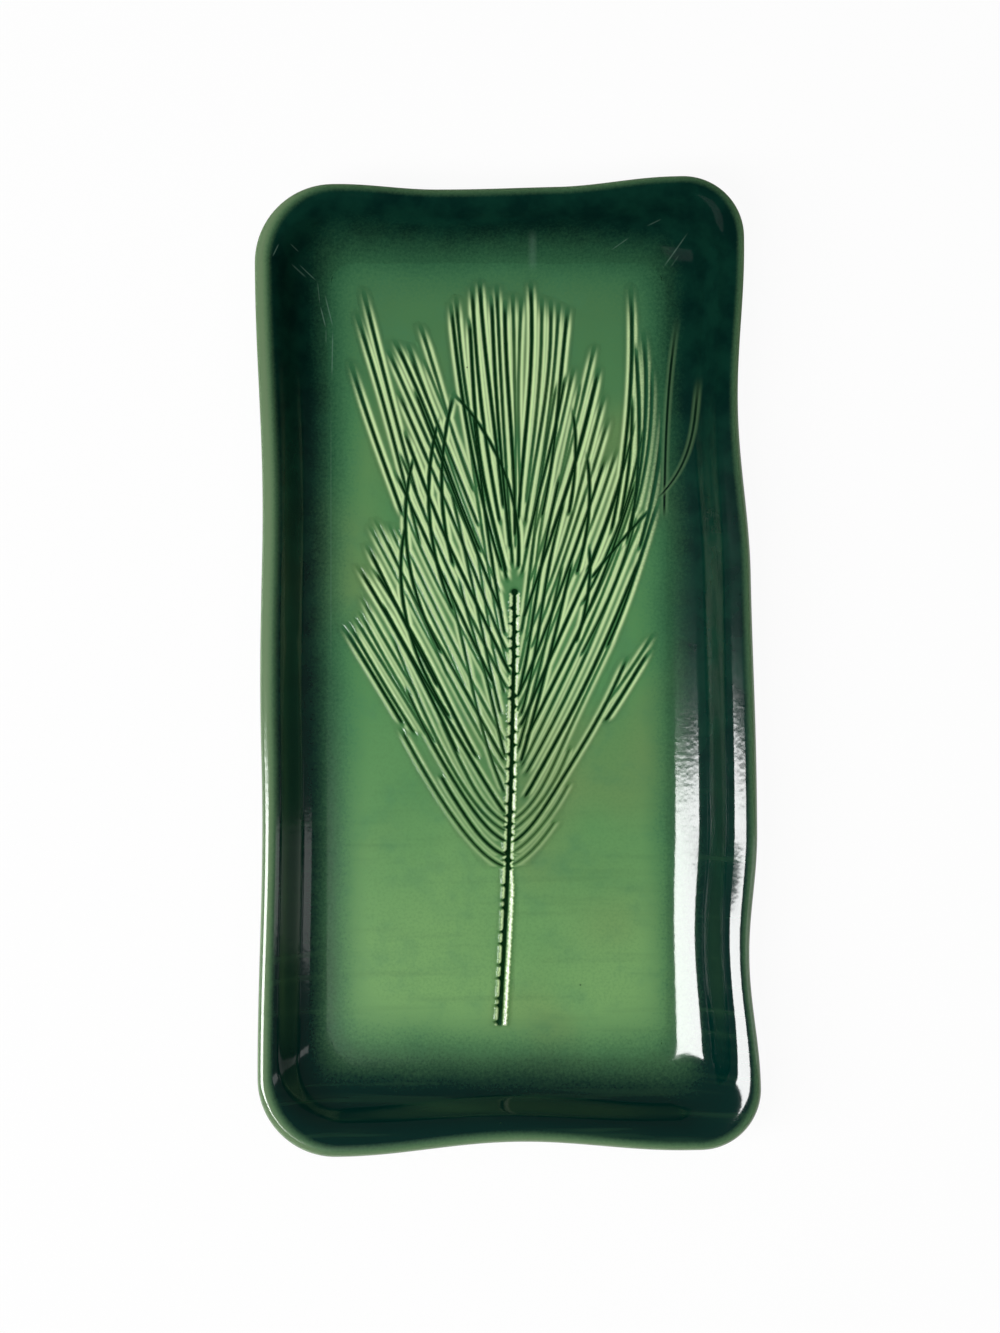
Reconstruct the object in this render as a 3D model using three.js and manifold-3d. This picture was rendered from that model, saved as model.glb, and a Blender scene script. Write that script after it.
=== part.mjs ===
// Rectangular ceramic tray with flared sides and drawn-out corners, made by hand from clay:
// a floor slab, a rim wall set round it and a foot ring under it, all covered by coats of green
// glaze. A pine sprig is printed into the glaze on the floor.
// Millimetres, +Z up, +Y along the tray. The origin is on the table, under the tray's middle.

import * as THREE from "three";
import { mergeVertices } from "three/addons/utils/BufferGeometryUtils.js";
import Module from "manifold-3d";

const wasm = await Module();
wasm.setup();

// Overall size, over the glaze
const trayLength = 370;
const trayWidth = 191;
const trayHeight = 28;

// Rim outline: corner radii, and how far each corner stays inside the overall rectangle
const leftCornerRadius = 29.5;
const rightCornerRadius = 23;
const upperLeftSetback = { x: 0, y: 3 };
const upperRightSetback = { x: 6.4, y: 0 };
const lowerRightSetback = { x: 0, y: 2.6 };
const lowerLeftSetback = { x: 1, y: 0 };

// Waists of the rim between its corners: place and reach are shares of a side, walked anticlockwise
const rightWaists = [
  { at: 0.15, reach: 0.15, depth: 3.4 },
  { at: 0.38, reach: 0.22, depth: -0.7 },
  { at: 0.8, reach: 0.2, depth: 3.6 },
];
const topWaists = [
  { at: 0.36, reach: 0.34, depth: 3 },
  { at: 0.68, reach: 0.32, depth: 3 },
];
const leftWaists = [
  { at: 0.3, reach: 0.3, depth: 2.6 },
  { at: 0.68, reach: 0.32, depth: 2.1 },
];
const bottomWaists = [{ at: 0.49, reach: 0.48, depth: 4.4 }];

// Floor: its edges lie this far inside the overall rectangle, and its corners are rounded
const leftWallWidth = 26.5;
const rightWallWidth = 35;
const topWallWidth = 31;
const bottomWallWidth = 35.5;
const floorCornerRadius = 11;

// Heights and thicknesses
const footHeight = 3;
const footWidth = 7;
const footEdge = 0.8;
const slabThickness = 5.8;
const glazeCoat = 1;
const jointClearance = 0.3;

// Wall section: round lip, and how far the wall sweeps level at the floor and the lip, as shares of
// the run between them, under the lip and at the foot
const lipRadius = 2.8;
const lipRollDegrees = 40;
const floorSweepShare = 0.68;
const lipSweepShare = 0.42;
const underlipSweep = 13;
const footSweep = 15;

// Sprig print: the stem stands up from the lower edge of the floor, needles grow on its upper part
const stemLength = 166;
const stemFootInset = 12;
const stemFootX = -3.2;
const stemTipX = 2.6;
const stemBow = 1.2;
const bareStem = 59.5;
const stemGrooveWidth = 3.2;
const needleGrooveWidth = 1.3;
const printDepth = 0.7;
const flareReach = 11;
const needleWander = 3.2;
const needleScatter = 0.5;
const bowPower = 1.5;
const grooveEndFullness = 0.35;

// Tufts of needles. side is -1 to the left, 1 to the right. root is a share of the leafy stem, lean
// an angle off it and bow a turn on the way to the tip, in degrees, each from the innermost to the
// outermost needle. length is in millimetres, and printed the share of it where the print begins,
// each between two limits. flare turns a needle outwards at its root, in degrees.
const tufts = [
  { side: 1, needles: 8, root: [1, 0.93], lean: [-3, 16], length: [112, 124],
    flare: 0, bow: [0, -13], printed: [0.06, 0.34] },
  { side: -1, needles: 7, root: [1, 0.93], lean: [3, 18], length: [110, 126],
    flare: 0, bow: [-1, -14], printed: [0.06, 0.34] },
  { side: -1, needles: 12, root: [0.92, 0.14], lean: [19, 31], length: [96, 116],
    flare: 8, bow: [2, -2], printed: [0, 0.2] },
  { side: -1, needles: 6, root: [0.8, 0.18], lean: [8, 15], length: [78, 122],
    flare: 10, bow: [-3, 2], printed: [0.02, 0.14] },
  { side: -1, needles: 4, root: [0.3, 0.05], lean: [22, 26], length: [112, 128],
    flare: 6, bow: [2, 4], printed: [0.3, 0.5] },
  { side: 1, needles: 11, root: [0.92, 0.14], lean: [17, 28], length: [100, 124],
    flare: 8, bow: [-5, -5], printed: [0, 0.2] },
  { side: 1, needles: 6, root: [0.82, 0.2], lean: [7, 14], length: [78, 122],
    flare: 8, bow: [0, 2], printed: [0.02, 0.14] },
  { side: 1, needles: 5, root: [0.6, 0.2], lean: [29, 33], length: [112, 134],
    flare: 0, bow: [-19, -17], printed: [0.4, 0.52] },
  { side: -1, needles: 3, root: [0.3, 0.05], lean: [16.5, 18.5], length: [190, 206],
    flare: 8, bow: [-3, -2], printed: [0.52, 0.68] },
  { side: 1, needles: 3, root: [0.4, 0.2], lean: [30.5, 34], length: [150, 178],
    flare: -4, bow: [-36, -31], printed: [0.56, 0.66] },
  { side: 1, needles: 3, root: [0.3, 0.06], lean: [25, 30], length: [194, 212],
    flare: 0, bow: [-30, -38], printed: [0.46, 0.62] },
  { side: -1, needles: 5, root: [0.1, 0], lean: [31, 36], length: [102, 114],
    flare: 12, bow: [-5, -5], printed: [0.44, 0.62] },
  { side: -1, needles: 5, root: [0.19, 0], lean: [26, 34], length: [30, 96],
    flare: 40, bow: [-6, -6], printed: [0, 0] },
  { side: 1, needles: 5, root: [0.19, 0], lean: [24, 32], length: [24, 96],
    flare: 40, bow: [-2, -2], printed: [0, 0] },
  { side: 1, needles: 2, root: [0.16, 0.06], lean: [37, 39], length: [86, 96],
    flare: -4, bow: [-2, -8], printed: [0.6, 0.66] },
  { side: -1, needles: 4, root: [0.7, 0.2], lean: [28, 46], length: [114, 132],
    flare: -8, bow: [-46, -60], printed: [0.3, 0.44] },
  { side: 1, needles: 3, root: [0.8, 0.4], lean: [30, 42], length: [84, 108],
    flare: -8, bow: [-44, -50], printed: [0.46, 0.58] },
  { side: -1, needles: 1, root: [0.96, 0.96], lean: [-5, -5], length: [88, 88],
    flare: 0, bow: [54, 54], printed: [0.14, 0.14] },
  { side: 1, needles: 1, root: [0.5, 0.5], lean: [23, 23], length: [104, 104],
    flare: 0, bow: [23, 23], printed: [0.62, 0.62] },
  { side: -1, needles: 5, root: [0.98, 0.84], lean: [17, 25], length: [102, 120],
    flare: 0, bow: [2, 0], printed: [0.22, 0.4] },
  { side: 1, needles: 4, root: [0.97, 0.82], lean: [13, 20], length: [92, 108],
    flare: 0, bow: [-4, -5], printed: [0.22, 0.4] },
];

// Facets
const arcSteps = 6;
const longSideSteps = 12;
const shortSideSteps = 7;
const wallSteps = 7;
const lipSteps = 4;
const underSteps = 5;
const needleSteps = 6;
const needleFineSteps = 24;
const stemSteps = 10;

// Levels that follow from the sizes above
const slabTop = footHeight + slabThickness;
const floorLevel = slabTop + glazeCoat;
const underLevel = footHeight - glazeCoat;

const mix = (from, to, share) => from + (to - from) * share;

// Outline

function cornerCircle(xSign, ySign, edges, radius) {
  return new THREE.Vector3(
    xSign * (trayWidth / 2 - edges.x - radius),
    ySign * (trayLength / 2 - edges.y - radius),
    radius,
  );
}

// Inset of a side at a share of its length: each waist is one wave of a raised cosine
function waistInset(share, waists) {
  return waists.reduce((inset, waist) => {
    const away = THREE.MathUtils.clamp((share - waist.at) / waist.reach, -1, 1);
    return inset + (waist.depth * (1 + Math.cos(Math.PI * away))) / 2;
  }, 0);
}

// A belt drawn tight round four corner circles (x, y, radius), anticlockwise, with waisted sides
function beltOutline(corners, sideWaists) {
  const sideNormals = corners.map((corner, i) => {
    const next = corners[(i + 1) % corners.length];
    const along = Math.atan2(next.y - corner.y, next.x - corner.x);
    const gap = Math.hypot(next.x - corner.x, next.y - corner.y);
    return along - Math.acos((corner.z - next.z) / gap);
  });
  const touch = (corner, angle) =>
    new THREE.Vector2(corner.x + corner.z * Math.cos(angle), corner.y + corner.z * Math.sin(angle));
  const points = [];
  corners.forEach((corner, i) => {
    const last = (i + corners.length - 1) % corners.length;
    const turn = THREE.MathUtils.euclideanModulo(sideNormals[i] - sideNormals[last], 2 * Math.PI);
    for (let k = 0; k <= arcSteps; k++) {
      points.push(touch(corner, sideNormals[last] + (turn * k) / arcSteps));
    }
    const sideStart = touch(corner, sideNormals[i]);
    const sideEnd = touch(corners[(i + 1) % corners.length], sideNormals[i]);
    const inwards = touch(new THREE.Vector3(0, 0, -1), sideNormals[i]);
    const steps = i % 2 === 0 ? longSideSteps : shortSideSteps;
    for (let k = 1; k < steps; k++) {
      const inset = waistInset(k / steps, sideWaists[i]);
      points.push(sideStart.clone().lerp(sideEnd, k / steps).addScaledVector(inwards, inset));
    }
  });
  return points;
}

const rimOutline = beltOutline(
  [
    cornerCircle(1, -1, lowerRightSetback, rightCornerRadius),
    cornerCircle(1, 1, upperRightSetback, rightCornerRadius),
    cornerCircle(-1, 1, upperLeftSetback, leftCornerRadius),
    cornerCircle(-1, -1, lowerLeftSetback, leftCornerRadius),
  ],
  [rightWaists, topWaists, leftWaists, bottomWaists],
);
const floorOutline = beltOutline(
  [
    cornerCircle(1, -1, { x: rightWallWidth, y: bottomWallWidth }, floorCornerRadius),
    cornerCircle(1, 1, { x: rightWallWidth, y: topWallWidth }, floorCornerRadius),
    cornerCircle(-1, 1, { x: leftWallWidth, y: topWallWidth }, floorCornerRadius),
    cornerCircle(-1, -1, { x: leftWallWidth, y: bottomWallWidth }, floorCornerRadius),
  ],
  [[], [], [], []],
);
const wallSpans = rimOutline.map((point, i) => point.distanceTo(floorOutline[i]));

// Plan point at a distance in from the rim, on the line from the rim to the floor's edge
function planPoint(i, inset) {
  return rimOutline[i].clone().lerp(floorOutline[i], inset / wallSpans[i]);
}

// Wall section

// Finished surface at one place on the rim, as points (inset from the rim, height) with outward
// normals: an S-curve up from the floor, the round lip, and the flared outside down to the foot
function finishedSection(span) {
  const run = span - lipRadius;
  const rollEnd = Math.PI + THREE.MathUtils.degToRad(lipRollDegrees);
  const lipCentre = new THREE.Vector2(lipRadius, trayHeight - lipRadius);
  const lipEnd = new THREE.Vector2(Math.cos(rollEnd), Math.sin(rollEnd));
  const lipEndTangent = new THREE.Vector2(-lipEnd.y, lipEnd.x);
  lipEnd.multiplyScalar(lipRadius).add(lipCentre);
  const inside = new THREE.CubicBezierCurve(
    new THREE.Vector2(span, floorLevel),
    new THREE.Vector2(span - floorSweepShare * run, floorLevel),
    new THREE.Vector2(lipRadius + lipSweepShare * run, trayHeight),
    new THREE.Vector2(lipRadius, trayHeight),
  );
  const lip = new THREE.EllipseCurve(
    lipCentre.x, lipCentre.y, lipRadius, lipRadius, Math.PI / 2, rollEnd, false,
  );
  const outside = new THREE.CubicBezierCurve(
    lipEnd,
    lipEnd.clone().addScaledVector(lipEndTangent, underlipSweep),
    new THREE.Vector2(span - footSweep, underLevel),
    new THREE.Vector2(span, underLevel),
  );
  const section = [];
  [[inside, wallSteps], [lip, lipSteps], [outside, underSteps]].forEach(([curve, steps], part) => {
    for (let k = part === 0 ? 0 : 1; k <= steps; k++) {
      const tangent = curve.getTangent(k / steps);
      section.push({
        point: curve.getPoint(k / steps),
        normal: new THREE.Vector2(tangent.y, -tangent.x),
      });
    }
  });
  return section;
}

const sections = wallSpans.map(finishedSection);
const clayPoint = ({ point, normal }) => point.clone().addScaledVector(normal, -glazeCoat);

// Solids

// Closed ring: at each place round the tray, a closed section of points (inset, height). Each facet
// is split along its shorter diagonal, so that a coat and the clay under it share one surface
function ringSolid(sectionAt) {
  const corners = [];
  const faces = [];
  const rows = rimOutline.length;
  const columns = sectionAt(0).length;
  for (let i = 0; i < rows; i++) {
    sectionAt(i).forEach((corner) => {
      const plan = planPoint(i, corner.x);
      corners.push(new THREE.Vector3(plan.x, plan.y, corner.y));
    });
  }
  for (let i = 0; i < rows; i++) {
    for (let j = 0; j < columns; j++) {
      const here = i * columns + j;
      const beside = i * columns + ((j + 1) % columns);
      const ahead = ((i + 1) % rows) * columns + j;
      const across = ((i + 1) % rows) * columns + ((j + 1) % columns);
      if (corners[here].distanceTo(corners[across]) < corners[beside].distanceTo(corners[ahead])) {
        faces.push(here, across, ahead, here, beside, across);
      } else {
        faces.push(here, beside, ahead, beside, across, ahead);
      }
    }
  }
  const geometry = new THREE.BufferGeometry().setFromPoints(corners);
  geometry.setIndex(faces);
  geometry.computeVertexNormals();
  return geometry;
}

// Part of the glaze coat, between two numbered points of the wall section
function coatSolid(first, last) {
  return ringSolid((i) => {
    const part = sections[i].slice(first, last + 1);
    return [...part.map(({ point }) => point), ...part.map(clayPoint).reverse()];
  });
}

// Flat plate with the floor's outline drawn in by an inset
function plateSolid(inset, bottom, top) {
  const outline = floorOutline.map((_, i) => planPoint(i, wallSpans[i] + inset));
  const geometry = new THREE.ExtrudeGeometry(new THREE.Shape(outline), {
    depth: top - bottom,
    bevelEnabled: false,
  });
  return geometry.translate(0, 0, bottom);
}

function footSolid() {
  return ringSolid((i) => {
    const outer = wallSpans[i] + jointClearance;
    const inner = outer + footWidth;
    return [
      new THREE.Vector2(outer, footHeight),
      new THREE.Vector2(outer, footEdge),
      new THREE.Vector2(outer + footEdge, 0),
      new THREE.Vector2(inner - footEdge, 0),
      new THREE.Vector2(inner, footEdge),
      new THREE.Vector2(inner, footHeight),
    ];
  });
}

// Sprig print

// Even scatter from 0 to 1, the same for the same needle and use
function scatter(needle, use) {
  const wave = Math.sin(needle * 12.9898 + use * 78.233) * 43758.5453;
  return wave - Math.floor(wave);
}

function stemPoint(share) {
  const stemFootY = -trayLength / 2 + bottomWallWidth + stemFootInset;
  return new THREE.Vector2(
    mix(stemFootX, stemTipX, share) + stemBow * Math.sin(Math.PI * share),
    stemFootY + stemLength * share,
  );
}

// Centre line of one needle's print: it leaves the stem, turns by its flare and bow, and wanders
function needlePath(tuft, number, needle) {
  const rank = (number + 0.5 + needleScatter * (scatter(needle, 1) - 0.5)) / tuft.needles;
  const length = mix(...tuft.length, scatter(needle, 2));
  const printed = mix(...tuft.printed, scatter(needle, 3));
  const root = mix(bareStem / stemLength, 1, mix(...tuft.root, rank));
  const heading = (share) => {
    const flare = tuft.flare * Math.exp((-share * length) / flareReach);
    const wander = Math.sin(2 * Math.PI * (share + scatter(needle, 5)));
    const bow = mix(...tuft.bow, rank) * share ** bowPower;
    const turn = mix(...tuft.lean, rank) + flare + bow;
    const drift = needleWander * (2 * scatter(needle, 4) - 1) * wander;
    return THREE.MathUtils.degToRad(turn + drift) * tuft.side;
  };
  const points = [stemPoint(root)];
  for (let k = 0; k < needleFineSteps; k++) {
    const angle = heading((k + 0.5) / needleFineSteps);
    const step = new THREE.Vector2(Math.sin(angle), Math.cos(angle));
    points.push(points[k].clone().addScaledVector(step, length / needleFineSteps));
  }
  const curve = new THREE.SplineCurve(points);
  return Array.from({ length: needleSteps + 1 }, (_, k) =>
    curve.getPoint(mix(printed, 1, k / needleSteps)),
  );
}

// V-shaped cutter along a path on the floor, narrow and shallow at its ends
function grooveCutter(path, width) {
  const positions = [];
  const faces = [];
  const lift = printDepth / 2;
  path.forEach((point, k) => {
    const before = path[Math.max(k - 1, 0)];
    const after = path[Math.min(k + 1, path.length - 1)];
    const across = after.clone().sub(before).normalize();
    across.set(across.y, -across.x);
    const fullness = k === 0 || k === path.length - 1 ? grooveEndFullness : 1;
    const depth = printDepth * fullness;
    const half = ((width * fullness) / 2) * ((depth + lift) / depth);
    positions.push(point.x - across.x * half, point.y - across.y * half, floorLevel + lift);
    positions.push(point.x + across.x * half, point.y + across.y * half, floorLevel + lift);
    positions.push(point.x, point.y, floorLevel - depth);
  });
  const last = 3 * (path.length - 1);
  faces.push(0, 2, 1, last, last + 1, last + 2);
  for (let k = 0; k < last; k += 3) {
    [[0, 1], [1, 2], [2, 0]].forEach(([a, b]) => {
      faces.push(k + a, k + b + 3, k + a + 3, k + a, k + b, k + b + 3);
    });
  }
  return new wasm.Manifold(
    new wasm.Mesh({
      numProp: 3,
      vertProperties: new Float32Array(positions),
      triVerts: new Uint32Array(faces),
    }),
  );
}

function sprigCutter() {
  const stemPath = Array.from({ length: stemSteps + 1 }, (_, k) => stemPoint(k / stemSteps));
  let cutter = grooveCutter(stemPath, stemGrooveWidth);
  let needle = 0;
  tufts.forEach((tuft) => {
    for (let number = 0; number < tuft.needles; number++) {
      needle += 1;
      const path = needlePath(tuft, number, needle);
      cutter = cutter.add(grooveCutter(path, needleGrooveWidth));
    }
  });
  return cutter;
}

function manifoldFrom(geometry) {
  const bare = geometry.clone();
  bare.deleteAttribute("normal");
  bare.deleteAttribute("uv");
  const merged = mergeVertices(bare);
  return new wasm.Manifold(
    new wasm.Mesh({
      numProp: 3,
      vertProperties: merged.attributes.position.array,
      triVerts: new Uint32Array(merged.index.array),
    }),
  );
}

function geometryFrom(manifold) {
  const mesh = manifold.getMesh();
  const geometry = new THREE.BufferGeometry();
  geometry.setAttribute("position", new THREE.Float32BufferAttribute(mesh.vertProperties, 3));
  geometry.setIndex(new THREE.Uint32BufferAttribute(mesh.triVerts, 1));
  geometry.computeVertexNormals();
  return geometry;
}

function wellGlazeSolid() {
  const coat = manifoldFrom(plateSolid(jointClearance, slabTop, floorLevel));
  return geometryFrom(coat.subtract(sprigCutter()));
}

// Finishes

const clay = new THREE.MeshStandardMaterial({ color: 0xb98f6a, roughness: 0.8, metalness: 0 });
const greenGlaze = new THREE.MeshStandardMaterial({ color: 0x5a8a58, roughness: 0.12, metalness: 0 });
const darkGlaze = new THREE.MeshStandardMaterial({ color: 0x12301f, roughness: 0.1, metalness: 0 });
const paleGlaze = new THREE.MeshStandardMaterial({ color: 0x5e8158, roughness: 0.15, metalness: 0 });

// Assembly

const lipStart = wallSteps;
const lipFinish = wallSteps + lipSteps;
const sectionEnd = wallSteps + lipSteps + underSteps;
const undersideInset = footWidth + 2 * jointClearance;

const tray = new THREE.Group();

function addPiece(name, geometry, material) {
  const piece = new THREE.Mesh(geometry, material);
  piece.name = name;
  tray.add(piece);
}

addPiece("floor_slab", plateSolid(jointClearance, footHeight, slabTop), clay);
addPiece("rim_wall", ringSolid((i) => sections[i].map(clayPoint)), clay);
addPiece("foot_ring", footSolid(), clay);
addPiece("well_glaze", wellGlazeSolid(), greenGlaze);
addPiece("wall_glaze", coatSolid(0, lipStart), darkGlaze);
addPiece("lip_glaze", coatSolid(lipStart, lipFinish), paleGlaze);
addPiece("outside_glaze", coatSolid(lipFinish, sectionEnd), paleGlaze);
addPiece("underside_glaze", plateSolid(undersideInset, underLevel, footHeight), paleGlaze);

export default tray;
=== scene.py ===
import bpy
import numpy as np
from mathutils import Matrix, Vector


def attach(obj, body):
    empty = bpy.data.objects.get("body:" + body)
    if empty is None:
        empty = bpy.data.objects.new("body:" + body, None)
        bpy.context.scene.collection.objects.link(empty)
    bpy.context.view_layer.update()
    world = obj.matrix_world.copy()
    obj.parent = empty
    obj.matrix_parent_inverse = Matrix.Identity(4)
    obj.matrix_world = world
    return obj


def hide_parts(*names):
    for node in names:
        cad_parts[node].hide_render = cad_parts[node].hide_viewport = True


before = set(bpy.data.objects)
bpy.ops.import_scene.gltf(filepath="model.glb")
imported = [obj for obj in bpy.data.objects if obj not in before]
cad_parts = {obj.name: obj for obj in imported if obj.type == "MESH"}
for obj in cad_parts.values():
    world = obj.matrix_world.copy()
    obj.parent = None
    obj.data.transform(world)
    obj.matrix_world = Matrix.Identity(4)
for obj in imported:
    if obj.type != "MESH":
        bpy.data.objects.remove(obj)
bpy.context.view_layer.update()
print("tray solids loaded")

# Plan and section of the tray, in millimetres
tray = {
    "length": 370.0,
    "width": 191.0,
    "height": 28.0,
    "leftCornerRadius": 29.5,
    "rightCornerRadius": 23.0,
    "upperLeftSetback": (0.0, 3.0),
    "upperRightSetback": (6.4, 0.0),
    "lowerRightSetback": (0.0, 2.6),
    "lowerLeftSetback": (1.0, 0.0),
    "rightWaists": [(0.15, 0.15, 3.4), (0.38, 0.22, -0.7), (0.8, 0.2, 3.6)],  # place, reach, depth
    "topWaists": [(0.36, 0.34, 3.0), (0.68, 0.32, 3.0)],
    "leftWaists": [(0.3, 0.3, 2.6), (0.68, 0.32, 2.1)],
    "bottomWaists": [(0.49, 0.48, 4.4)],
    "leftWall": 26.5,
    "rightWall": 35.0,
    "topWall": 31.0,
    "bottomWall": 35.5,
    "floorCornerRadius": 11.0,
    "footHeight": 3.0,
    "footWidth": 7.0,
    "footEdge": 0.8,
    "slabThickness": 5.8,
    "glazeCoat": 1.0,
    "jointClearance": 0.3,
    "lipRadius": 2.8,
    "lipRoll": 40.0,  # degrees past level
    "floorSweepShare": 0.68,  # of the run from the floor to the crest of the lip
    "lipSweepShare": 0.42,
    "underlipSweep": 13.0,
    "footSweep": 15.0,
    "arcSteps": 24,  # even, so that an arc has a middle point
    "longSteps": 120,
    "shortSteps": 60,
    "footSteps": 6,
    "wallSteps": 44,
    "lipSteps": 20,
    "underSteps": 26,
}
slabTop = tray["footHeight"] + tray["slabThickness"]
floorLevel = slabTop + tray["glazeCoat"]
underLevel = tray["footHeight"] - tray["glazeCoat"]
sideSteps = [tray["longSteps"], tray["shortSteps"]] * 2
millimetre = 0.001  # in metres


# A belt round four circles, anticlockwise from the lower right one: each side is the outer tangent of
# two circles, each corner the arc between two side normals, and a waist draws a side in by a raised cosine
def beltOutline(centres, radii, waists):
    towards = np.roll(centres, -1, axis=0) - centres
    nextRadii = np.roll(radii, -1)
    apart = np.hypot(*towards.T)
    normals = np.arctan2(towards[:, 1], towards[:, 0]) - np.arccos((radii - nextRadii) / apart)
    outline = []
    for corner in range(4):
        before = normals[corner - 1]
        turn = (normals[corner] - before) % (2 * np.pi)
        angles = before + turn * np.linspace(0, 1, tray["arcSteps"] + 1)
        outline.append(centres[corner] + radii[corner] * np.column_stack([np.cos(angles), np.sin(angles)]))
        outward = np.array([np.cos(normals[corner]), np.sin(normals[corner])])
        start = centres[corner] + radii[corner] * outward
        end = centres[(corner + 1) % 4] + nextRadii[corner] * outward
        share = np.arange(1, sideSteps[corner])[:, None] / sideSteps[corner]
        side = start + (end - start) * share
        for place, reach, depth in waists[corner]:
            swing = np.clip((share - place) / reach, -1, 1)
            side = side - outward * depth * (1 + np.cos(np.pi * swing)) / 2
        outline.append(side)
    return np.concatenate(outline)


halfWidth = tray["width"] / 2
halfLength = tray["length"] / 2
cornerSigns = np.array([(1, -1), (1, 1), (-1, 1), (-1, -1)], float)
rimRadii = np.array([tray["rightCornerRadius"]] * 2 + [tray["leftCornerRadius"]] * 2)
cornerNames = ("lowerRight", "upperRight", "upperLeft", "lowerLeft")
rimSetbacks = np.array([tray[corner + "Setback"] for corner in cornerNames])
rimCentres = cornerSigns * (np.array([halfWidth, halfLength]) - rimRadii[:, None] - rimSetbacks)
rimWaists = [tray[side + "Waists"] for side in ("right", "top", "left", "bottom")]
rimOutline = beltOutline(rimCentres, rimRadii, rimWaists)
floorLeft = -halfWidth + tray["leftWall"]
floorRight = halfWidth - tray["rightWall"]
floorTop = halfLength - tray["topWall"]
floorBottom = -halfLength + tray["bottomWall"]
floorCorners = np.array(
    [(floorRight, floorBottom), (floorRight, floorTop), (floorLeft, floorTop), (floorLeft, floorBottom)]
)
floorRadii = np.full(4, tray["floorCornerRadius"])
floorCentres = floorCorners - cornerSigns * tray["floorCornerRadius"]
floorOutline = beltOutline(floorCentres, floorRadii, [[]] * 4)
wallSpan = np.hypot(*(floorOutline - rimOutline).T)
aroundCount = len(rimOutline)


# Cubic curve with four control points, each an (inset, height) pair of arrays round the tray: it leaves the
# first towards the second and reaches the last from the third
def sweepCurve(controls, shares):
    pairs = [np.stack(np.broadcast_arrays(inset, height), -1) for inset, height in controls]
    start, leave, arrive, end = pairs
    share = shares[:, None, None]
    rest = 1 - share
    return start * rest ** 3 + end * share ** 3 + 3 * share * rest * (leave * rest + arrive * share)


# Section from the floor up the wall, round the lip and down to the foot: an S curve, an arc and an S curve,
# as insets from the rim outline and heights; each point then lies between the rim and floor outlines
def wallSection():
    span = wallSpan
    flat = np.zeros(aroundCount)
    radius = tray["lipRadius"]
    run = span - radius
    inside = sweepCurve(
        [
            (span, flat + floorLevel),
            (span - tray["floorSweepShare"] * run, flat + floorLevel),
            (radius + tray["lipSweepShare"] * run, flat + tray["height"]),
            (flat + radius, flat + tray["height"]),
        ],
        np.linspace(0, 1, tray["wallSteps"] + 1),
    )
    angles = np.radians(np.linspace(90, 180 + tray["lipRoll"], tray["lipSteps"] + 1))[:, None] + flat
    lipMiddle = tray["height"] - radius
    lip = np.stack([radius + radius * np.cos(angles), lipMiddle + radius * np.sin(angles)], -1)
    lipEnd = lip[-1]
    roll = np.radians(tray["lipRoll"])
    underlip = lipEnd + np.array([np.sin(roll), -np.cos(roll)]) * tray["underlipSweep"]
    outside = sweepCurve(
        [
            (lipEnd[:, 0], lipEnd[:, 1]),
            (underlip[:, 0], underlip[:, 1]),
            (span - tray["footSweep"], flat + underLevel),
            (span, flat + underLevel),
        ],
        np.linspace(0, 1, tray["underSteps"] + 1),
    )
    return np.concatenate([inside, lip[1:], outside[1:]])


section = wallSection()
inset = section[..., 0]
share = (inset / wallSpan)[..., None]
wallPoints = np.concatenate([rimOutline + (floorOutline - rimOutline) * share, section[..., 1:]], -1)


# Unit normals of a grid that closes round the tray: the cross product of the step along the section
# and the step round the tray
def ringNormals(points):
    along = np.gradient(points, axis=0)
    around = np.roll(points, -1, axis=1) - np.roll(points, 1, axis=1)
    normals = np.cross(along, around)
    return normals / np.linalg.norm(normals, axis=-1, keepdims=True)


wallNormals = ringNormals(wallPoints)
wallNormals[0] = (0, 0, 1)
wallNormals[-1] = (0, 0, -1)
crestRow = tray["wallSteps"]
rollRow = crestRow + tray["lipSteps"]
print("outline points:", aroundCount, "section rows:", len(section))

# Where the dark spray and the pale edge of the lip lie, in millimetres
spray = {
    "left": (1.2, 9.5),  # middle of the fade inside the floor edge, half its width
    "right": (-1.9, 9.5),
    "rightTilt": 0.03,  # how much more the fade stands in for each step along the tray
    "top": (-4.0, 12.0),
    "bottom": (-0.4, 13.5),
    "cornerBlend": 0.55,
    "lipAcross": 4.0,
    "lipAlong": 2.6,
    "lipShift": (1.6, 0.75),  # taken off at the right and the top, added at the left and below
    "lipFade": 1.9,
    "outerLip": -2.0,  # inset given to the outer side of the lip, which is pale all over
    "floorInset": 30.0,  # inset given to the floor, far inside the lip
    "farthest": 8.0,  # in fade widths, where a fade has long ended
}


# How far a place is out of the dark spray: its distance inside each side of the floor, in half widths of
# that side's fade, and the soft least of the four
def sprayReach(x, y):
    fades = [
        (x - floorLeft - spray["left"][0]) / spray["left"][1],
        (floorRight - x - spray["right"][0] - spray["rightTilt"] * y) / spray["right"][1],
        (floorTop - y - spray["top"][0]) / spray["top"][1],
        (y - floorBottom - spray["bottom"][0]) / spray["bottom"][1],
    ]
    soft = spray["cornerBlend"]
    limit = spray["farthest"]
    return -soft * np.log(sum(np.exp(-np.clip(fade, -limit, limit) / soft) for fade in fades))


# How far a place on the lip is inside the pale edge, in fade widths: its inset less the edge's width,
# which is greatest on the left and least on the right
def lipReach(insets):
    outward = np.roll(rimOutline, -1, axis=0) - np.roll(rimOutline, 1, axis=0)
    outward = np.column_stack([outward[:, 1], -outward[:, 0]]) / np.hypot(*outward.T)[:, None]
    width = spray["lipAcross"] * outward[:, 0] ** 2 + spray["lipAlong"] * outward[:, 1] ** 2
    width = width - outward @ np.array(spray["lipShift"])
    return (insets - width) / spray["lipFade"]


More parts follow.
